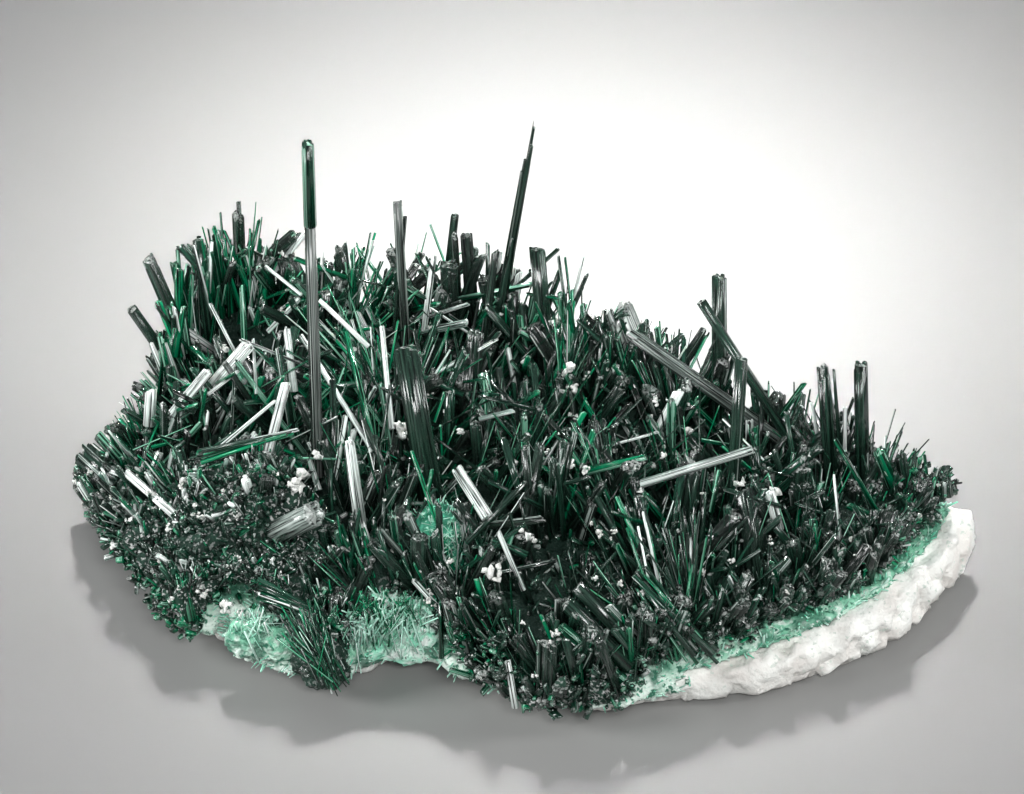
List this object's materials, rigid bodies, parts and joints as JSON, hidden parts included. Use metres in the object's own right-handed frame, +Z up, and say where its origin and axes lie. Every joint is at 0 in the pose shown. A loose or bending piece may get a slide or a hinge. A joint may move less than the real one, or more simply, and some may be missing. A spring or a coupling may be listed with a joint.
{
  "type": "brochantite specimen",
  "caption": "Mineral specimen: a dense druse of dark green striated prisms on a green crust over white matrix rock, resting on its flat-cut base.",
  "frame": {"origin": "bottom centre of the bounding box, on the plane of the flat-cut base", "axes": "+X along the specimen's length, towards the end where the white rock shows; +Z up, the way most crystals point; -Y towards the viewer of the picture"},
  "size_m": [0.0802, 0.053, 0.042],
  "materials": {
    "white_rock": "rough, matte",
    "green_crust": "fine-grained, matte",
    "dark_crystal": "glassy, striated, nearly opaque",
    "green_crystal": "glassy, striated, translucent at thin edges",
    "pale_crystal": "silky, striated, with a pale sheen"
  },
  "bodies": {
    "root": {"matrix_rock": "white_rock", "green_crust": "green_crust", "crystal_druse": "dark_crystal", "tall_prism": "green_crystal", "spire": "dark_crystal", "upper_horn": "dark_crystal", "lower_horn": "dark_crystal", "twin_prism": "dark_crystal", "domed_prism": "dark_crystal", "long_bar": "dark_crystal", "tower_prism": "dark_crystal", "cross_bar": "dark_crystal", "dark_prism": "dark_crystal", "wedge_crystal": "dark_crystal", "right_prism": "dark_crystal", "slanting_rod": "pale_crystal", "pale_slab": "pale_crystal", "broad_prism": "dark_crystal", "blocky_crystal": "dark_crystal"}
  },
  "joints": []
}
